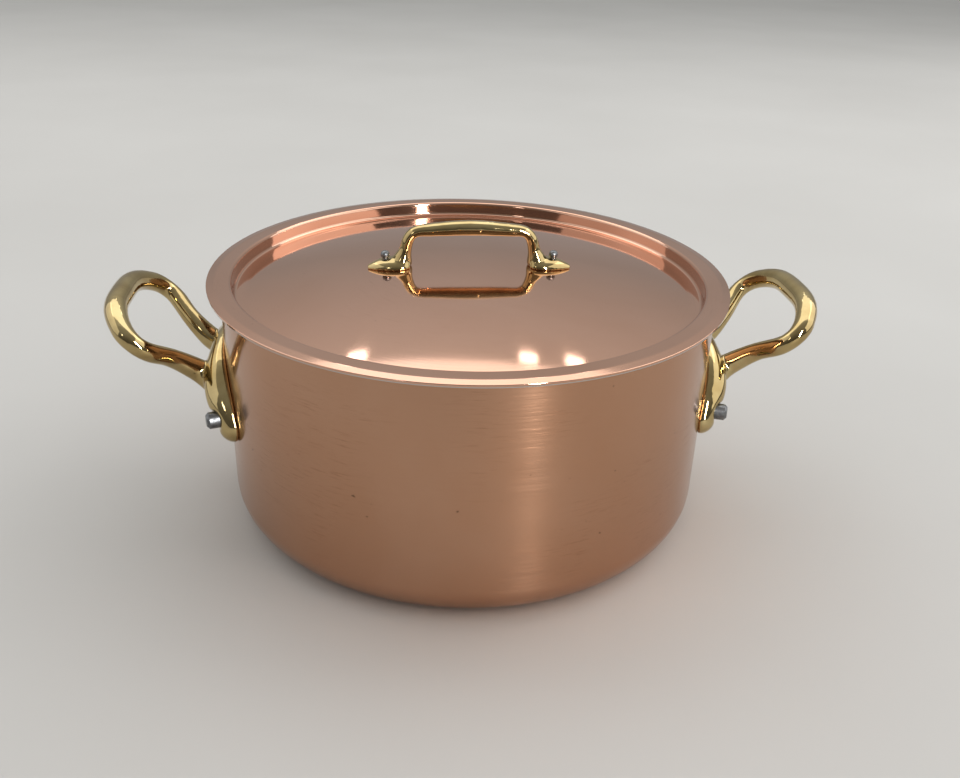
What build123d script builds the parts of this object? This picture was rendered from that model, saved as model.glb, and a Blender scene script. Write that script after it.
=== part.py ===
from build123d import *
import os
from math import asin, cos, degrees, radians, sin, sqrt

# Copper stewpot with a lift-off lid, two cast brass loop handles and a brass handle on the lid
# Millimetres, +Z up. The origin is the middle of the flat bottom, and the loop handles lie along X.
os.makedirs("parts", exist_ok=True)

# Pan wall: a copper shell with a thin steel lining bonded inside
pan_inner_radius = 120
pan_height = 122
pan_corner_radius = 17.5
copper_thickness = 1.6
lining_thickness = 0.4
rim_round = 0.5

# Lid: a thin copper sheet, lined too, with a flat brim, a plug that drops into the pan and a low dome
brim_overhang = 6
lid_copper_thickness = 1.0
lid_lining_thickness = 0.4
lid_seat_gap = 0.2
plug_clearance = 2.3
plug_depth = 7.0
plug_draft = 0.8
plug_round = 1.6
ledge_width = 4.4
dome_rise = 9.5
brim_fall_width = 4.0
brim_fall = 0.7
brim_round = 6.0
lid_edge_round = 0.3

# Loop handle: its arched base on the wall
foot_spread = 38.5
foot_height = 58
foot_end_shares = (0.35, 0.65, 0.86, 0.97)
crown_height = 84
leg_thickness = 11.3
leg_half_width = 8.0
arch_thickness_shares = (0.64, 0.70, 0.88, 1, 0.93, 0.68)
arch_width_shares = (1, 0.98, 0.95, 0.95, 0.98, 1.06)
arch_stations = 11

# Loop handle: its raised loop, measured in the loop's own sloping plane, and its ends inside the legs
loop_angle = 42
loop_origin_height = 72.5
loop_origin_standoff = 5.5
loop_root_half_span = 20
loop_root_reach = 6
loop_arm_half_span = 30.5
loop_arm_reach = 29
loop_corner_half_span = 37
loop_corner_reach = 40
loop_shoulder_half_span = 28
loop_shoulder_reach = 52.3
loop_tip_reach = 58
loop_end_half_span = 28
loop_end_height = 70
loop_end_standoff = 4.6
grip_half_width = 5.4
grip_half_height = 5.5
loop_width_shares = (1, 0.99, 0.97, 0.93, 0.85, 0.79, 0.78, 0.8, 0.86, 1, 0.95, 0.55)
loop_height_shares = (1, 0.99, 0.97, 0.9, 0.84, 0.79, 0.78, 0.8, 0.86, 1, 0.95, 0.55)
loop_stations = 21

# Rivets of the loop handles
rivet_spread = 36.8
rivet_height = 61.3
rivet_shank_radius = 3
rivet_clearance = 0.1
rivet_seat = 6.0
rivet_seat_margin = 0.6
rivet_head_radius = 4.1
rivet_head_height = 7.0
rivet_head_chamfer = 1.3
rivet_tail_radius = 5.5
rivet_tail_height = 2.2
rivet_tail_round = 1.6

# Lid handle: leaf-shaped feet and a raised bar that swells in the middle
leaf_tip_reach = 50.8
leaf_inner_reach = 29.8
leaf_half_width = 7.6
leaf_thickness = 4.8
leaf_place_shares = (0, 0.18, 0.38, 0.58, 0.76, 0.9, 1)
leaf_width_shares = (0.28, 0.6, 0.84, 0.98, 1, 0.9, 0.62)
leaf_thickness_shares = (0.32, 0.68, 0.92, 1, 1, 0.94, 0.7)
bar_height = 19.5
bar_bow = 1.95
bar_corner_reach = 29.5
bar_corner_round = 7
bar_bow_round = 150
bar_half_height = 3.7
bar_half_width = 4.2
bar_height_shares = (1, 0.95, 0.86, 0.72, 0.78, 1.3)
bar_width_shares = (1, 0.97, 0.92, 0.86, 0.92, 1.3)
post_reach = 34
post_standoff = 1.5
bar_stations = 21

# Rivets of the lid handle
lid_rivet_reach = 42
lid_rivet_seat = 4.4
lid_rivet_seat_margin = 0.5
lid_rivet_shank_radius = 1.6
lid_rivet_head_radius = 2.6
lid_rivet_head_height = 3.9
lid_rivet_head_round = 1.3
lid_rivet_tail_radius = 3.4
lid_rivet_tail_height = 1.4
lid_rivet_tail_round = 0.9

# One overrun for every cut
overrun = 5

# Sizes worked out from the ones above
wall_thickness = lining_thickness + copper_thickness
pan_outer_radius = pan_inner_radius + wall_thickness
lid_thickness = lid_copper_thickness + lid_lining_thickness
lid_brim_radius = pan_outer_radius + brim_overhang
brim_top = pan_height + lid_seat_gap + lid_thickness
plug_top_radius = pan_inner_radius - plug_clearance - lid_thickness
ledge_height = brim_top - plug_depth
ledge_radius = plug_top_radius - plug_draft
dome_radius = ledge_radius - ledge_width
dome_sphere_radius = (dome_radius**2 + dome_rise**2) / (2 * dome_rise)
dome_centre_height = ledge_height + dome_rise - dome_sphere_radius
arch_rise = crown_height - foot_height
arch_radius = (foot_spread**2 + arch_rise**2) / (2 * arch_rise)
arch_half_angle = degrees(asin(foot_spread / arch_radius))
foot_thickness = leg_thickness * arch_thickness_shares[-1]
foot_radius = leg_half_width * arch_width_shares[-1]


def dome_height(reach):
    """Height of the lid's upper face at a distance from the axis."""
    return dome_centre_height + sqrt(dome_sphere_radius**2 - reach**2)


def between(sizes, share):
    """Size at a share of the way along a row of evenly spaced sizes."""
    place = min(max(share, 0), 1) * (len(sizes) - 1)
    left = min(int(place), len(sizes) - 2)
    return sizes[left] + (sizes[left + 1] - sizes[left]) * (place - left)


def wall_plane(span, height, standoff=0):
    """Plane that faces outwards from the right-hand wall at a sideways distance, its own X up."""
    angle = asin(span / pan_outer_radius)
    outwards = Vector(cos(angle), sin(angle), 0)
    origin = outwards * (pan_outer_radius + standoff) + Vector(0, 0, height)
    return Plane(origin=origin, x_dir=(0, 0, 1), z_dir=outwards)


def oval(place, across, along, half_across, half_other):
    """Elliptical section square to a line, with one half size across it and the other beside it."""
    with BuildSketch(Plane(origin=place, x_dir=across, z_dir=along)) as section:
        Ellipse(half_across, half_other)
    return section.sketch


def cup_profile(radius, floor, thickness, corner):
    """Half section of a straight-sided cup with a rounded bottom corner."""
    inner_radius = radius - thickness
    inner_floor = floor + thickness
    with BuildSketch(Plane.XZ) as profile:
        with BuildLine():
            Polyline(
                (0, floor),
                (radius, floor),
                (radius, pan_height),
                (inner_radius, pan_height),
                (inner_radius, inner_floor),
                (0, inner_floor),
                close=True,
            )
        make_face()
        fillet(profile.vertices().group_by(Axis.X)[-1].sort_by(Axis.Y)[0], corner)
        fillet(profile.vertices().group_by(Axis.X)[-2].sort_by(Axis.Y)[0], corner - thickness)
    return profile.sketch


def lid_profile(thickness):
    """Half section of the lid's sheet, from its upper face down to a thickness."""
    with BuildSketch(Plane.XZ) as profile:
        with BuildLine():
            ThreePointArc(
                (0, dome_height(0)),
                (dome_radius / 2, dome_height(dome_radius / 2)),
                (dome_radius, ledge_height),
            )
            FilletPolyline(
                (dome_radius, ledge_height),
                (ledge_radius, ledge_height),
                (plug_top_radius, brim_top),
                (lid_brim_radius - brim_fall_width, brim_top),
                (lid_brim_radius, brim_top - brim_fall),
                radius=(plug_round, plug_round, brim_round),
            )
            offset(amount=thickness, side=Side.RIGHT)
        make_face()
    return profile.sketch


def wall_holes():
    """Four rivet holes through the pan's wall."""
    for place in side_rivet_planes.values():
        with Locations(place.offset(overrun)):
            Hole(rivet_shank_radius + rivet_clearance, depth=2 * overrun + wall_thickness)


def lid_holes():
    """Two rivet holes through the lid."""
    for reach in (-lid_rivet_reach, lid_rivet_reach):
        with Locations((reach, 0, dome_height(reach) + overrun)):
            Hole(lid_rivet_shank_radius + rivet_clearance, depth=2 * overrun + lid_thickness)


# Places of the four side rivets on the wall, each plane facing outwards
side_rivet_planes = {}
for end, span in (("front", -rivet_spread), ("rear", rivet_spread)):
    place = wall_plane(span, rivet_height)
    side_rivet_planes[f"right_{end}"] = place
    side_rivet_planes[f"left_{end}"] = Plane(
        origin=(-place.origin.X, place.origin.Y, rivet_height),
        x_dir=place.x_dir,
        z_dir=(-place.z_dir.X, place.z_dir.Y, 0),
    )

# Copper body of the pan
with BuildPart() as pan_body:
    with BuildSketch(Plane.XZ) as body_profile:
        add(cup_profile(pan_outer_radius, 0, copper_thickness, pan_corner_radius))
        fillet(body_profile.vertices().group_by(Axis.X)[-1].sort_by(Axis.Y)[-1], rim_round)
    revolve(axis=Axis.Z)
    wall_holes()
pan_body.part.label = "pan_body"
export_step(pan_body.part, "parts/pan_body.step")

# Thin steel lining of the pan
with BuildPart() as pan_lining:
    with BuildSketch(Plane.XZ):
        add(
            cup_profile(
                pan_inner_radius + lining_thickness,
                copper_thickness,
                lining_thickness,
                pan_corner_radius - copper_thickness,
            )
        )
    revolve(axis=Axis.Z)
    wall_holes()
pan_lining.part.label = "pan_lining"
export_step(pan_lining.part, "parts/pan_lining.step")

# Arched base of a loop handle: one domed bar along the wall, from foot to foot over the crown
arch_points = []
for step in range(arch_stations):
    turn = radians(arch_half_angle * (2 * step / (arch_stations - 1) - 1))
    height = foot_height + arch_radius * (cos(turn) - cos(radians(arch_half_angle)))
    arch_points.append(wall_plane(arch_radius * sin(turn), height).origin)
with BuildLine() as arch_line:
    Spline(*arch_points)


def arch_section(place, along, thickness, half_width):
    """Section of the arched base, as high off the wall as its thickness."""
    return oval(place, Vector(place.X, place.Y, 0), along, thickness, half_width)


def foot_sections(end):
    """Shrinking sections that round off the foot at one end of the arch."""
    along = arch_line.line % end
    sections = []
    for share in foot_end_shares:
        place = arch_line.line @ end + along * ((2 * end - 1) * share * foot_radius)
        size = sqrt(1 - share**2)
        sections.append(arch_section(place, along, foot_thickness * size, foot_radius * size))
    return sections


arch_sections = foot_sections(0)[::-1]
for step in range(arch_stations):
    share = step / (arch_stations - 1)
    from_crown = abs(2 * share - 1)
    thickness = leg_thickness * between(arch_thickness_shares, from_crown)
    half_width = leg_half_width * between(arch_width_shares, from_crown)
    arch_sections.append(arch_section(arch_line.line @ share, arch_line.line % share, thickness, half_width))
arch_sections += foot_sections(1)

# Raised loop of a loop handle: its ends are buried in the legs
loop_plane = Plane(
    origin=(pan_outer_radius + loop_origin_standoff, 0, loop_origin_height),
    x_dir=(0, 1, 0),
    z_dir=(sin(radians(loop_angle)), 0, -cos(radians(loop_angle))),
)
loop_outline = [
    (loop_root_half_span, loop_root_reach),
    (loop_arm_half_span, loop_arm_reach),
    (loop_corner_half_span, loop_corner_reach),
    (loop_shoulder_half_span, loop_shoulder_reach),
]
loop_points = [wall_plane(-loop_end_half_span, loop_end_height, loop_end_standoff).origin]
loop_points += [loop_plane.from_local_coords((-span, reach, 0)) for span, reach in loop_outline]
loop_points.append(loop_plane.from_local_coords((0, loop_tip_reach, 0)))
loop_points += [loop_plane.from_local_coords((span, reach, 0)) for span, reach in reversed(loop_outline)]
loop_points.append(wall_plane(loop_end_half_span, loop_end_height, loop_end_standoff).origin)
with BuildLine() as loop_line:
    Spline(*loop_points)

loop_sections = []
for step in range(loop_stations):
    share = step / (loop_stations - 1)
    from_tip = abs(2 * share - 1)
    half_height = grip_half_height * between(loop_height_shares, from_tip)
    half_width = grip_half_width * between(loop_width_shares, from_tip)
    loop_sections.append(
        oval(loop_line.line @ share, loop_plane.z_dir, loop_line.line % share, half_height, half_width)
    )

# Loop handles: the base cut to the curve of the wall, the loop, and a flat and a hole for each rivet
with BuildPart() as right_handle:
    loft(arch_sections)
    with BuildSketch():
        Circle(pan_outer_radius)
    extrude(amount=pan_height, mode=Mode.SUBTRACT)
    loft(loop_sections)
    for span in (-rivet_spread, rivet_spread):
        with BuildSketch(wall_plane(span, rivet_height, rivet_seat)):
            Circle(rivet_head_radius + rivet_seat_margin)
        extrude(amount=leg_thickness, mode=Mode.SUBTRACT)
        with Locations(wall_plane(span, rivet_height, leg_thickness)):
            Hole(rivet_shank_radius + rivet_clearance, depth=leg_thickness + overrun)
right_handle.part.label = "right_handle"
export_step(right_handle.part, "parts/right_handle.step")

with BuildPart() as left_handle:
    mirror(right_handle.part, about=Plane.YZ)
left_handle.part.label = "left_handle"
export_step(left_handle.part, "parts/left_handle.step")

# Rivets of the loop handles: a tall tapered head outside and a low one on the lining
for name, place in side_rivet_planes.items():
    with BuildPart() as side_rivet:
        with BuildSketch(place.offset(-wall_thickness - rivet_tail_height)):
            Circle(rivet_tail_radius)
        extrude(amount=rivet_tail_height + wall_thickness)
        fillet(side_rivet.faces().sort_by(Axis(place.origin, place.z_dir))[0].edges(), rivet_tail_round)
        with BuildSketch():
            Circle(pan_inner_radius)
        extrude(amount=pan_height, mode=Mode.INTERSECT)
        with BuildSketch(place.offset(-wall_thickness - rivet_tail_height / 2)):
            Circle(rivet_shank_radius)
        extrude(amount=wall_thickness + rivet_tail_height / 2 + rivet_seat)
        with BuildSketch(place.offset(rivet_seat)):
            Circle(rivet_head_radius)
        extrude(amount=rivet_head_height)
        chamfer(side_rivet.faces().sort_by(Axis(place.origin, place.z_dir))[-1].edges(), rivet_head_chamfer)
    side_rivet.part.label = f"{name}_rivet"
    export_step(side_rivet.part, f"parts/{name}_rivet.step")

# Copper shell of the lid
with BuildPart() as lid_shell:
    with BuildSketch(Plane.XZ) as shell_profile:
        add(lid_profile(lid_copper_thickness))
        fillet(shell_profile.vertices().sort_by(Axis.X)[-1], lid_edge_round)
    revolve(axis=Axis.Z)
    lid_holes()
lid_shell.part.label = "lid_shell"
export_step(lid_shell.part, "parts/lid_shell.step")

# Thin steel lining under the lid
with BuildPart() as lid_lining:
    with BuildSketch(Plane.XZ) as lining_profile:
        add(lid_profile(lid_thickness))
        add(lid_profile(lid_copper_thickness), mode=Mode.SUBTRACT)
    revolve(lining_profile.sketch, axis=Axis.Z)
    lid_holes()
lid_lining.part.label = "lid_lining"
export_step(lid_lining.part, "parts/lid_lining.step")

# Leaf-shaped foot of the lid handle, from its outer tip inwards, and the bar with its two posts
leaf_sections = []
leaf_shares = zip(leaf_place_shares, leaf_width_shares, leaf_thickness_shares)
for place_share, width_share, thickness_share in leaf_shares:
    reach = leaf_tip_reach - (leaf_tip_reach - leaf_inner_reach) * place_share
    leaf_sections.append(
        oval(
            Vector(reach, 0, dome_height(reach)),
            (0, 1, 0),
            (-1, 0, 0),
            leaf_half_width * width_share,
            leaf_thickness * thickness_share,
        )
    )
with BuildLine(Plane.XZ) as bar_line:
    FilletPolyline(
        (-post_reach, dome_height(post_reach) + post_standoff),
        (-bar_corner_reach, brim_top + bar_height),
        (0, brim_top + bar_height + bar_bow),
        (bar_corner_reach, brim_top + bar_height),
        (post_reach, dome_height(post_reach) + post_standoff),
        radius=(bar_corner_round, bar_bow_round, bar_corner_round),
    )
bar_sections = []
for step in range(bar_stations):
    share = step / (bar_stations - 1)
    from_middle = abs(2 * share - 1)
    half_width = bar_half_width * between(bar_width_shares, from_middle)
    half_height = bar_half_height * between(bar_height_shares, from_middle)
    bar_sections.append(
        oval(bar_line.line @ share, (0, 1, 0), bar_line.line % share, half_width, half_height)
    )

# Lid handle
with BuildPart() as lid_handle:
    loft(leaf_sections)
    mirror(about=Plane.YZ)
    with Locations((0, 0, dome_centre_height)):
        Sphere(dome_sphere_radius, mode=Mode.SUBTRACT)
    loft(bar_sections)
    for reach in (-lid_rivet_reach, lid_rivet_reach):
        seat = Plane.XY.offset(dome_height(reach) + lid_rivet_seat)
        with BuildSketch(seat):
            with Locations((reach, 0)):
                Circle(lid_rivet_head_radius + lid_rivet_seat_margin)
        extrude(amount=leaf_thickness, mode=Mode.SUBTRACT)
        with Locations((reach, 0, dome_height(reach) + leaf_thickness)):
            Hole(lid_rivet_shank_radius + rivet_clearance, depth=leaf_thickness + overrun)
lid_handle.part.label = "lid_handle"
export_step(lid_handle.part, "parts/lid_handle.step")

# Rivets of the lid handle: a domed head on top and a low one under the lining
for name, reach in (("left", -lid_rivet_reach), ("right", lid_rivet_reach)):
    with BuildPart() as lid_rivet:
        with BuildSketch(Plane.XY.offset(dome_height(reach) - lid_thickness - lid_rivet_tail_height)):
            with Locations((reach, 0)):
                Circle(lid_rivet_tail_radius)
        extrude(amount=lid_rivet_tail_height + lid_thickness)
        fillet(lid_rivet.edges().group_by(Axis.Z)[0], lid_rivet_tail_round)
        with Locations((0, 0, dome_centre_height)):
            Sphere(dome_sphere_radius - lid_thickness, mode=Mode.INTERSECT)
        with BuildSketch(Plane.XY.offset(dome_height(reach) - lid_thickness - lid_rivet_tail_height / 2)):
            with Locations((reach, 0)):
                Circle(lid_rivet_shank_radius)
        extrude(amount=lid_rivet_tail_height / 2 + lid_thickness + lid_rivet_seat)
        with BuildSketch(Plane.XY.offset(dome_height(reach) + lid_rivet_seat)):
            with Locations((reach, 0)):
                Circle(lid_rivet_head_radius)
        extrude(amount=lid_rivet_head_height)
        fillet(lid_rivet.edges().group_by(Axis.Z)[-1], lid_rivet_head_round)
    lid_rivet.part.label = f"{name}_lid_rivet"
    export_step(lid_rivet.part, f"parts/{name}_lid_rivet.step")
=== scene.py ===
import math

import bmesh
import bpy
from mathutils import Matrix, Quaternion, Vector


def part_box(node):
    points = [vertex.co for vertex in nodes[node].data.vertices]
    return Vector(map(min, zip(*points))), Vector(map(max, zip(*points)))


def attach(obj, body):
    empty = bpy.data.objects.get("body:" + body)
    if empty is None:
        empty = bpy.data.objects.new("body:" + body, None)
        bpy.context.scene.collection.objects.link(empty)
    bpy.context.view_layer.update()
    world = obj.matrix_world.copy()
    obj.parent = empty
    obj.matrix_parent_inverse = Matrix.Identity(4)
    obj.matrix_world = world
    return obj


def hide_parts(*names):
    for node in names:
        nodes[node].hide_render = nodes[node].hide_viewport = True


# Copper stewpot with brass handles: finishes, smooth skins, floor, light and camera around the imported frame
for name in ("Cube", "Light", "Camera"):  # what a new Blender file starts with
    if name in bpy.data.objects:
        bpy.data.objects.remove(bpy.data.objects[name])
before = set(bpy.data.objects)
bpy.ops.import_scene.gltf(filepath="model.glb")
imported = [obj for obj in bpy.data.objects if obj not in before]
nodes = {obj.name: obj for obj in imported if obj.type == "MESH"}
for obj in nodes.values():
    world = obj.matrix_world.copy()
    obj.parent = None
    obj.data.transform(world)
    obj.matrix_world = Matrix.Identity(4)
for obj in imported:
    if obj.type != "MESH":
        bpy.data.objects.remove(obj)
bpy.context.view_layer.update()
print("frame loaded,", len(nodes), "nodes")


def newMaterial(name):
    material = bpy.data.materials.new(name)
    material.use_nodes = True
    shader = material.node_tree.nodes["Principled BSDF"]
    return material, material.node_tree, shader


# Adds a node; a socket is given by its name, or by i and its number where names repeat
def addNode(tree, kind, settings=None, **sockets):
    node = tree.nodes.new(kind)
    for key, value in (settings or {}).items():
        setattr(node, key, value)
    for key, value in sockets.items():
        numbered = key[0] == "i" and key[1:].isdigit()
        socket = node.inputs[int(key[1:])] if numbered else node.inputs[key]
        if isinstance(value, bpy.types.NodeSocket):
            tree.links.new(value, socket)
        else:
            socket.default_value = value
    return node


def addRamp(tree, factor, stops):
    ramp = addNode(tree, "ShaderNodeValToRGB", Fac=factor)
    elements = ramp.color_ramp.elements
    while len(elements) < len(stops):
        elements.new(0.5)
    for element, (place, colour) in zip(elements, stops):
        element.position = place
        element.color = (*colour, 1)
    return ramp.outputs["Color"]


def objectCoordinates(tree):
    return addNode(tree, "ShaderNodeTexCoord").outputs["Object"]


# Coordinates for marks that run round a turned piece: slow along the ring, quick across it
def ringCoordinates(tree, along, across):
    place = objectCoordinates(tree)
    parts = addNode(tree, "ShaderNodeSeparateXYZ", Vector=place)
    flat = addNode(tree, "ShaderNodeCombineXYZ", X=parts.outputs["X"], Y=parts.outputs["Y"]).outputs["Vector"]
    radius = addNode(tree, "ShaderNodeVectorMath", {"operation": "LENGTH"}, i0=flat).outputs["Value"]
    height = addNode(tree, "ShaderNodeMath", {"operation": "ADD"}, i0=radius, i1=parts.outputs["Z"])
    quick = addNode(tree, "ShaderNodeMath", {"operation": "MULTIPLY"}, i0=height.outputs["Value"], i1=across)
    slow = addNode(tree, "ShaderNodeVectorMath", {"operation": "SCALE"}, i0=flat, Scale=along)
    slowParts = addNode(tree, "ShaderNodeSeparateXYZ", Vector=slow.outputs["Vector"]).outputs
    ring = addNode(
        tree, "ShaderNodeCombineXYZ", X=slowParts["X"], Y=slowParts["Y"], Z=quick.outputs["Value"]
    )
    return ring.outputs["Vector"]


def noise(tree, vector, scale, detail, roughness, distortion=0.0):
    texture = addNode(
        tree, "ShaderNodeTexNoise",
        Vector=vector, Scale=scale, Detail=detail, Roughness=roughness, Distortion=distortion,
    )
    return texture.outputs["Fac"]


# The range that most of a noise lies in
noiseMiddle = (0.3, 0.7)


# Stretches the part of a noise between two values over a new range
def spread(tree, value, fromRange, toRange):
    mapped = addNode(tree, "ShaderNodeMapRange", Value=value)
    for key, number in zip(("From Min", "From Max", "To Min", "To Max"), (*fromRange, *toRange)):
        mapped.inputs[key].default_value = number
    return mapped.outputs["Result"]


def shares(whole, parts):
    return [whole * part for part in parts]


# Colour mix; its sockets 0, 6 and 7 are the factor and the two colours
def mixed(tree, factor, first, second, blend):
    settings = {"data_type": "RGBA", "blend_type": blend}
    return addNode(tree, "ShaderNodeMix", settings, i0=factor, i6=first, i7=second).outputs[2]


def tinted(tree, factor, colour, tint):
    darker = mixed(tree, 1.0, colour, (*tint, 1), "MULTIPLY")
    return mixed(tree, factor, colour, darker, "MIX")


# Stretched highlights then follow the rings of a turned piece
def setTangent(tree, shader):
    tangent = addNode(tree, "ShaderNodeTangent", {"direction_type": "RADIAL", "axis": "Z"})
    tree.links.new(tangent.outputs["Tangent"], shader.inputs["Tangent"])


def addBump(tree, shader, heights):
    normal = None
    for value, distance, strength in heights:
        bump = addNode(tree, "ShaderNodeBump", Height=value, Distance=distance, Strength=strength)
        if normal is not None:
            tree.links.new(normal, bump.inputs["Normal"])
        normal = bump.outputs["Normal"]
    tree.links.new(normal, shader.inputs["Normal"])


# Copper: mirror polish, faint turning marks, a warm tarnish that comes and goes, wiping scuffs on the wall
# The pot's copper is set darker than the lid's and than real copper: painted shade for the dim floor in front
# that its wall reflects
potCopperPaintedShade = {
    "bright": (0.50, 0.288, 0.186),
    "warm": (0.465, 0.25, 0.15),
    "roughness": 0.17,
    "smear": 0.9,
    "ringDepth": 0.000006,
    "scuffs": 1.0,
}
lidCopper = {
    "bright": (0.655, 0.39, 0.28),
    "warm": (0.60, 0.34, 0.23),
    "roughness": 0.07,
    "smear": 0.5,
    "ringDepth": 0.000003,
    "scuffs": 0.35,
}
copperDetail = {
    "smearTurn": 0.25,  # a quarter turn: a polished ring smears light across itself
    "tarnish": {"scale": 9.0, "detail": 4.0, "roughness": 0.55, "distortion": 0.4},
    "tarnishStops": (0.35, 0.7),
    "ringSpacing": {"along": 6.0, "across": 1500.0},
    "rings": {"scale": 1.0, "detail": 5.0, "roughness": 0.65},
    "ringGlossShares": (0.85, 1.2),
    "scuffSpacing": {"along": 90.0, "across": 2200.0},
    "scuffs": {"scale": 1.0, "detail": 3.0, "roughness": 0.6},
    "scuffRange": (0.58, 0.7),
    "scuffTint": (0.8, 0.76, 0.72),
    "scuffRoughness": 0.10,
    "patches": {"scale": 16.0, "detail": 2.0, "roughness": 0.5},
    "patchRange": (0.5, 0.62),
    "specks": {"scale": 420.0, "detail": 2.0, "roughness": 0.4},
    "speckRange": (0.76, 0.79),
    "speckTint": (0.45, 0.45, 0.45),
    "waves": {"scale": 22.0, "detail": 2.0, "roughness": 0.4},
    "waveDepth": 0.00004,
}


def copperMaterial(name, look):
    detail = copperDetail
    material, tree, shader = newMaterial(name)
    place = objectCoordinates(tree)
    shader.inputs["Metallic"].default_value = 1.0
    shader.inputs["Anisotropic"].default_value = look["smear"]
    shader.inputs["Anisotropic Rotation"].default_value = detail["smearTurn"]
    setTangent(tree, shader)

    tarnish = noise(tree, place, **detail["tarnish"])
    colour = addRamp(tree, tarnish, tuple(zip(detail["tarnishStops"], (look["bright"], look["warm"]))))
    scuffs = noise(tree, ringCoordinates(tree, **detail["scuffSpacing"]), **detail["scuffs"])
    scuffs = spread(tree, scuffs, detail["scuffRange"], (0.0, look["scuffs"]))
    patches = spread(tree, noise(tree, place, **detail["patches"]), detail["patchRange"], (0.0, 1.0))
    marks = addNode(tree, "ShaderNodeMath", {"operation": "MULTIPLY"}, i0=scuffs, i1=patches).outputs["Value"]
    colour = tinted(tree, marks, colour, detail["scuffTint"])
    specks = spread(tree, noise(tree, place, **detail["specks"]), detail["speckRange"], (0.0, look["scuffs"]))
    colour = tinted(tree, specks, colour, detail["speckTint"])
    tree.links.new(colour, shader.inputs["Base Color"])

    rings = noise(tree, ringCoordinates(tree, **detail["ringSpacing"]), **detail["rings"])
    gloss = spread(tree, rings, noiseMiddle, shares(look["roughness"], detail["ringGlossShares"]))
    settings = {"operation": "MULTIPLY_ADD"}
    worn = addNode(tree, "ShaderNodeMath", settings, i0=marks, i1=detail["scuffRoughness"], i2=gloss)
    tree.links.new(worn.outputs["Value"], shader.inputs["Roughness"])
    waves = noise(tree, place, **detail["waves"])
    addBump(tree, shader, ((waves, detail["waveDepth"], 1.0), (rings, look["ringDepth"], 1.0)))
    return material


# Brass of the three handles: cast, filed and polished by hand, browner in places
brass = {
    "bright": (0.53, 0.415, 0.205),
    "warm": (0.36, 0.25, 0.10),
    "cloud": {"scale": 45.0, "detail": 4.0, "roughness": 0.55},
    "cloudStops": (0.35, 0.72),
    "roughness": 0.05,
    "smudge": {"scale": 160.0, "detail": 3.0, "roughness": 0.6},
    "smudgeShares": (0.7, 1.9),
    "ripple": {"scale": 110.0, "detail": 2.0, "roughness": 0.5},
    "rippleDepth": 0.00018,
}


def brassMaterial(name):
    material, tree, shader = newMaterial(name)
    place = objectCoordinates(tree)
    shader.inputs["Metallic"].default_value = 1.0
    cloud = noise(tree, place, **brass["cloud"])
    colour = addRamp(tree, cloud, tuple(zip(brass["cloudStops"], (brass["bright"], brass["warm"]))))
    tree.links.new(colour, shader.inputs["Base Color"])
    smudge = noise(tree, place, **brass["smudge"])
    gloss = spread(tree, smudge, noiseMiddle, shares(brass["roughness"], brass["smudgeShares"]))
    tree.links.new(gloss, shader.inputs["Roughness"])
    ripple = noise(tree, place, **brass["ripple"])
    addBump(tree, shader, ((ripple, brass["rippleDepth"], 1.0),))
    return material


# Satin steel of the linings, with the rings of its polishing
steel = {
    "dark": (0.46, 0.455, 0.44),
    "colour": (0.56, 0.55, 0.53),
    "smear": 0.6,
    "ringSpacing": {"along": 5.0, "across": 2200.0},
    "rings": {"scale": 1.0, "detail": 5.0, "roughness": 0.7},
    "roughness": 0.26,
    "ringGlossShares": (0.8, 1.25),
    "ringDepth": 0.00001,
}


def steelMaterial(name):
    material, tree, shader = newMaterial(name)
    shader.inputs["Metallic"].default_value = 1.0
    shader.inputs["Anisotropic"].default_value = steel["smear"]
    setTangent(tree, shader)
    rings = noise(tree, ringCoordinates(tree, **steel["ringSpacing"]), **steel["rings"])
    colour = addRamp(tree, rings, tuple(zip(noiseMiddle, (steel["dark"], steel["colour"]))))
    tree.links.new(colour, shader.inputs["Base Color"])
    gloss = spread(tree, rings, noiseMiddle, shares(steel["roughness"], steel["ringGlossShares"]))
    tree.links.new(gloss, shader.inputs["Roughness"])
    addBump(tree, shader, ((rings, steel["ringDepth"], 1.0),))
    return material


# Dull grey steel of the rivets, a little hammered
rivetSteel = {
    "metallic": 0.9,
    "dark": (0.10, 0.103, 0.106),
    "light": (0.25, 0.255, 0.26),
    "cloud": {"scale": 420.0, "detail": 4.0, "roughness": 0.6},
    "roughness": 0.38,
    "cloudGlossShares": (1.2, 0.75),
    "hammer": {"scale": 900.0, "detail": 3.0, "roughness": 0.6},
    "hammerDepth": 0.0001,
    "hammerStrength": 0.7,
}


def rivetMaterial(name):
    look = rivetSteel
    material, tree, shader = newMaterial(name)
    place = objectCoordinates(tree)
    shader.inputs["Metallic"].default_value = look["metallic"]
    cloud = noise(tree, place, **look["cloud"])
    colour = addRamp(tree, cloud, tuple(zip(noiseMiddle, (look["dark"], look["light"]))))
    tree.links.new(colour, shader.inputs["Base Color"])
    gloss = spread(tree, cloud, noiseMiddle, shares(look["roughness"], look["cloudGlossShares"]))
    tree.links.new(gloss, shader.inputs["Roughness"])
    hammer = noise(tree, place, **look["hammer"])
    addBump(tree, shader, ((hammer, look["hammerDepth"], look["hammerStrength"]),))
    return material


finishes = {
    "pan_body": copperMaterial("pan copper with painted shade", potCopperPaintedShade),
    "lid_shell": copperMaterial("lid copper", lidCopper),
    "pan_lining": steelMaterial("lining steel"),
    "handles": brassMaterial("cast brass"),
    "rivets": rivetMaterial("rivet steel"),
}
finishes["lid_lining"] = finishes["pan_lining"]


def finishOf(node):
    if node in finishes:
        return finishes[node]
    return finishes["handles"] if node.endswith("handle") else finishes["rivets"]


for name, node in nodes.items():
    node.material_slots[0].material = finishOf(name)
print("finishes given")


# An object for a new mesh that stands for a node of the frame
def newPiece(name, mesh, body, node):
    piece = bpy.data.objects.new(name, mesh)
    bpy.context.scene.collection.objects.link(piece)
    mesh.materials.append(finishOf(node))
    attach(piece, body)
    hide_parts(node)
    return piece


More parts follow.
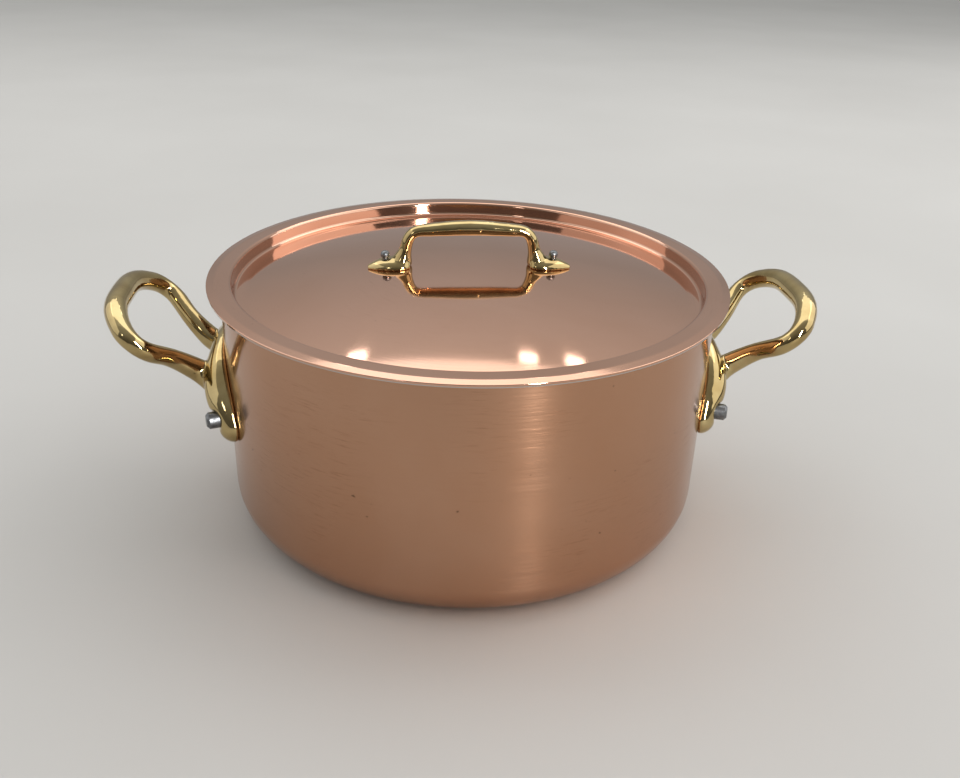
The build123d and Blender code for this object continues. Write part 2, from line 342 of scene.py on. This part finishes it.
# Turned pieces: a half section in millimetres is spun round an upright axis
turning = {"steps": 256, "arcSteps": 8, "mergeGap": 1e-6, "sharpDegrees": 35, "millimetre": 0.001}


# Points of a half section, given as radius, height and the rounding of each corner
def roundedLine(corners):
    line = []
    for index, (radius, height, rounding) in enumerate(corners):
        corner = Vector((radius, 0, height))
        if rounding == 0:
            line.append(corner)
            continue
        before = (Vector((corners[index - 1][0], 0, corners[index - 1][1])) - corner).normalized()
        after = (Vector((corners[index + 1][0], 0, corners[index + 1][1])) - corner).normalized()
        half = before.angle(after) / 2
        centre = corner + (before + after).normalized() * rounding / math.sin(half)
        start = corner + before * rounding / math.tan(half) - centre
        end = corner + after * rounding / math.tan(half) - centre
        for step in range(turning["arcSteps"] + 1):
            line.append(centre + start.slerp(end, step / turning["arcSteps"]) * rounding)
    return line


# The same line lower down, by the thickness of a sheet
def offsetLine(line, distance):
    moved = []
    for index, point in enumerate(line):
        ahead = line[min(index + 1, len(line) - 1)] - line[max(index - 1, 0)]
        moved.append(point + Vector((-ahead.z, 0, ahead.x)).normalized() * -distance)
    moved[0].x = line[0].x  # it still starts on the axis
    return moved


def turnedPiece(name, section, body, node, place=(0, 0)):
    sheet = bmesh.new()
    points = [sheet.verts.new(point * turning["millimetre"]) for point in section]
    edges = [sheet.edges.new(pair) for pair in zip(points, points[1:])]
    bmesh.ops.spin(
        sheet, geom=points + edges, cent=(0, 0, 0), axis=(0, 0, 1),
        angle=math.tau, steps=turning["steps"], use_merge=True,
    )
    bmesh.ops.remove_doubles(sheet, verts=sheet.verts, dist=turning["mergeGap"])
    bmesh.ops.recalc_face_normals(sheet, faces=sheet.faces)
    bmesh.ops.translate(sheet, verts=sheet.verts, vec=(*place, 0))
    for face in sheet.faces:
        face.smooth = True
    for edge in sheet.edges:
        edge.smooth = edge.calc_face_angle(0) < math.radians(turning["sharpDegrees"])
    mesh = bpy.data.meshes.new(name)
    sheet.to_mesh(mesh)
    sheet.free()
    piece = newPiece(name, mesh, body, node)
    even = piece.modifiers.new("even shading", "WEIGHTED_NORMAL")
    even.keep_sharp = True


# Pot: the same sections as the frame's wall and lining, with evenly shaded faces
pot = {
    "outerRadius": 122,
    "copper": 1.6,
    "lining": 0.4,
    "top": 122,
    "corner": 17.5,
    "rimRounding": 0.5,
}


def cupSection(radius, floor, sheet, rounding):
    inner = radius - sheet
    return roundedLine((
        (0, floor, 0),
        (radius, floor, pot["corner"] - floor),
        (radius, pot["top"], rounding),
        (inner, pot["top"], 0),
        (inner, floor + sheet, pot["corner"] - floor - sheet),
        (0, floor + sheet, 0),
    ))


panCopper = cupSection(pot["outerRadius"], 0, pot["copper"], pot["rimRounding"])
panSteel = cupSection(pot["outerRadius"] - pot["copper"], pot["copper"], pot["lining"], 0)
turnedPiece("turned_pan", panCopper, "pan", "pan_body")
turnedPiece("turned_pan_lining", panSteel, "pan", "pan_lining")

# Lid: dome, ledge, plug, and a brim that falls a little at its edge
lid = {
    "domeTop": 126.1,
    "domeRadius": 111.1,
    "domeSteps": 48,
    "ledgeHeight": 116.6,
    "ledgeRadius": 115.5,
    "plugRounding": 1.6,
    "brimInner": 116.3,
    "brimTop": 123.6,
    "fallRadius": 124,
    "fallRounding": 6,
    "brimRadius": 128,
    "brimEdge": 122.9,
    "copper": 1.0,
    "lining": 0.4,
    "edgeRounding": 0.3,
}


def lidLine():
    rise = lid["domeTop"] - lid["ledgeHeight"]
    sphere = (lid["domeRadius"] ** 2 + rise**2) / (2 * rise)
    centre = lid["domeTop"] - sphere
    line = []
    for step in range(lid["domeSteps"]):
        radius = lid["domeRadius"] * step / lid["domeSteps"]
        line.append(Vector((radius, 0, centre + math.sqrt(sphere**2 - radius**2))))
    return line + roundedLine((
        (lid["domeRadius"], lid["ledgeHeight"], 0),
        (lid["ledgeRadius"], lid["ledgeHeight"], lid["plugRounding"]),
        (lid["brimInner"], lid["brimTop"], lid["plugRounding"]),
        (lid["fallRadius"], lid["brimTop"], lid["fallRounding"]),
        (lid["brimRadius"], lid["brimEdge"], 0),
    ))


upper = lidLine()
middle = offsetLine(upper, lid["copper"])
under = offsetLine(upper, lid["copper"] + lid["lining"])
brimEnd = roundedLine((
    (upper[-2].x, upper[-2].z, 0),
    (upper[-1].x, upper[-1].z, lid["edgeRounding"]),
    (middle[-1].x, middle[-1].z, 0),
))
turnedPiece("turned_lid", upper[:-1] + brimEnd[1:-1] + middle[::-1], "lid", "lid_shell")
turnedPiece("turned_lid_lining", middle + under[::-1], "lid", "lid_lining")
print("pot and lid turned")

# Lid rivets: small domed heads on a slimmer neck, low round heads under the lid
lidRivet = {
    "head": 2.25,
    "headHeight": 2.9,
    "headRounding": 1.9,
    "headUnderside": 0.8,
    "headSlope": 0.3,
    "neck": 1.6,
    "tail": 3.4,
    "tailHeight": 1.4,
    "tailRounding": 0.9,
}
for side in ("left", "right"):
    low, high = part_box(side + "_lid_rivet")
    top = high.z / turning["millimetre"]
    bottom = low.z / turning["millimetre"]
    headBase = top - lidRivet["headHeight"]
    tailBase = bottom + lidRivet["tailHeight"]
    rivetSection = roundedLine((
        (0, top, 0),
        (lidRivet["head"], top, lidRivet["headRounding"]),
        (lidRivet["head"], headBase, lidRivet["headUnderside"]),
        (lidRivet["neck"], headBase - lidRivet["headSlope"], 0),
        (lidRivet["neck"], tailBase, 0),
        (lidRivet["tail"], tailBase, 0),
        (lidRivet["tail"], bottom, lidRivet["tailRounding"]),
        (0, bottom, 0),
    ))
    axisPlace = ((low.x + high.x) / 2, (low.y + high.y) / 2)
    turnedPiece(side + "_round_rivet", rivetSection, "lid", side + "_lid_rivet", axisPlace)
print("lid rivets rounded")

# Cast handles: a copy of each is skinned evenly and its junctions run together, as in a casting
casting = {"mergeGap": 1e-6, "cell": 0.0005, "factor": 0.5}
casts = {
    "left_loop": {"body": "pan", "node": "left_handle", "repeats": 60, "regain": 0.00034},
    "right_loop": {"body": "pan", "node": "right_handle", "repeats": 60, "regain": 0.00034},
    "lid_bar": {"body": "lid", "node": "lid_handle", "repeats": 12, "regain": 0.0001},
}


def castPiece(name, look):
    copy = bmesh.new()
    copy.from_mesh(nodes[look["node"]].data)
    bmesh.ops.remove_doubles(copy, verts=copy.verts, dist=casting["mergeGap"])
    bmesh.ops.recalc_face_normals(copy, faces=copy.faces)
    mesh = bpy.data.meshes.new(name)
    copy.to_mesh(mesh)
    copy.free()
    piece = newPiece(name, mesh, look["body"], look["node"])
    skin = piece.modifiers.new("even skin", "REMESH")
    skin.mode = "VOXEL"
    skin.voxel_size = casting["cell"]
    skin.use_smooth_shade = True
    soften = piece.modifiers.new("soft junctions", "SMOOTH")
    soften.factor = casting["factor"]
    soften.iterations = look["repeats"]
    swell = piece.modifiers.new("regained thickness", "DISPLACE")
    swell.strength = look["regain"]
    swell.mid_level = 0


for name, look in casts.items():
    castPiece(name, look)
print("handles softened")

# Floor: pale grey board, wide enough for every view
floorLook = {
    "side": 16.0,
    "shade": (0.585, 0.57, 0.545),
    "colour": (0.62, 0.605, 0.58),
    "cloud": {"scale": 3.0, "detail": 3.0, "roughness": 0.5},
    "roughness": 0.75,
    "specular": 0.2,
}


def makeFloor():
    mesh = bpy.data.meshes.new("floor")
    sheet = bmesh.new()
    bmesh.ops.create_grid(sheet, x_segments=2, y_segments=2, size=floorLook["side"] / 2)
    sheet.to_mesh(mesh)
    sheet.free()
    floor = bpy.data.objects.new("floor", mesh)
    bpy.context.scene.collection.objects.link(floor)
    material, tree, shader = newMaterial("pale floor")
    cloud = noise(tree, objectCoordinates(tree), **floorLook["cloud"])
    colour = addRamp(tree, cloud, tuple(zip(noiseMiddle, (floorLook["shade"], floorLook["colour"]))))
    tree.links.new(colour, shader.inputs["Base Color"])
    shader.inputs["Roughness"].default_value = floorLook["roughness"]
    shader.inputs["Specular IOR Level"].default_value = floorLook["specular"]
    mesh.materials.append(material)


makeFloor()

# Soft studio light: large panels above and at the sides light the scene
panels = {
    "overhead": {"place": (0.1, 0.9, 1.9), "aim": (0, 0.1, 0), "size": (3.6, 1.4), "power": 21},
    "left": {"place": (-1.9, 0.1, 1.1), "aim": (0, 0, 0.05), "size": (3.0, 2.0), "power": 12.5},
    "right": {"place": (1.9, -0.2, 1.2), "aim": (0.1, -0.1, 0.05), "size": (3.0, 2.0), "power": 25},
}
# Windows show only as reflections: two behind the camera, three small ones high up behind the pot
windowAim = (0, 0, 0.1)
skylightAim = (0, 0, 0.12)
skylight = {"size": (0.09, 0.08), "power": 0.14}
windows = {
    "windowRight": {"place": (0.66, -1.55, 0.75), "aim": windowAim, "size": (0.13, 1.0), "power": 46},
    "windowLeft": {"place": (-1.3, -2.0, 1.6), "aim": windowAim, "size": (0.2, 0.5), "power": 2},
    "skylightLeft": {"place": (-0.388, 1.962, 1.86), "aim": skylightAim, **skylight},
    "skylightMiddle": {"place": (0.49, 1.939, 1.93), "aim": skylightAim, **skylight},
    "skylightRight": {"place": (0.713, 1.868, 1.86), "aim": skylightAim, **skylight},
}
for name, look in (panels | windows).items():
    data = bpy.data.lights.new(name, "AREA")
    data.shape = "RECTANGLE"
    data.size, data.size_y = look["size"]
    data.energy = look["power"]
    lamp = bpy.data.objects.new(name, data)
    lamp.location = look["place"]
    lamp.visible_camera = False
    lamp.visible_diffuse = name in panels
    lamp.rotation_euler = (Vector(look["aim"]) - Vector(look["place"])).to_track_quat("-Z", "Y").to_euler()
    bpy.context.scene.collection.objects.link(lamp)

# Room around the object: brighter overhead and behind it, dim on the camera's side
roomLook = {
    "byHeight": (
        (0.0, (0.42, 0.42, 0.42)),
        (0.25, (0.42, 0.43, 0.43)),
        (0.5, (0.62, 0.63, 0.63)),
        (0.75, (0.84, 0.86, 0.86)),
        (1.0, (0.88, 0.90, 0.90)),
    ),
    "bySide": (
        (0.0, (0.32, 0.31, 0.30)),
        (0.45, (0.52, 0.52, 0.52)),
        (0.62, (1.0, 1.0, 1.0)),
    ),
    "strength": 0.9,
}
room = bpy.data.worlds.new("room")
room.use_nodes = True
air = room.node_tree
skyPlace = addNode(air, "ShaderNodeTexCoord").outputs["Generated"]
skyParts = addNode(air, "ShaderNodeSeparateXYZ", Vector=skyPlace)
byHeight = addRamp(air, skyParts.outputs["Z"], roomLook["byHeight"])
towardsBack = spread(air, skyParts.outputs["Y"], (-1.0, 1.0), (0.0, 1.0))
bySide = addRamp(air, towardsBack, roomLook["bySide"])
background = air.nodes["Background"]
air.links.new(mixed(air, 1.0, byHeight, bySide, "MULTIPLY"), background.inputs["Color"])
background.inputs["Strength"].default_value = roomLook["strength"]
bpy.context.scene.world = room
bpy.context.scene.view_settings.view_transform = "Standard"
print("floor and lights placed")

# Camera: its place, direction and roll are fitted to the photograph
cameraLook = {
    "place": (-0.0398, -0.4545, 0.2891),
    "forward": (0.0917, 0.8858, -0.4549),
    "rollDegrees": 1.9,
    "lens": 36.03,
    "sensor": 36,
    "nearest": 0.01,
}
cameraData = bpy.data.cameras.new("camera")
cameraData.lens = cameraLook["lens"]
cameraData.sensor_width = cameraLook["sensor"]
cameraData.clip_start = cameraLook["nearest"]
camera = bpy.data.objects.new("camera", cameraData)
camera.location = cameraLook["place"]
camera.rotation_mode = "QUATERNION"
aim = Vector(cameraLook["forward"]).to_track_quat("-Z", "Y")
camera.rotation_quaternion = aim @ Quaternion((0, 0, 1), math.radians(cameraLook["rollDegrees"]))
bpy.context.scene.collection.objects.link(camera)
bpy.context.scene.camera = camera
print("camera placed")
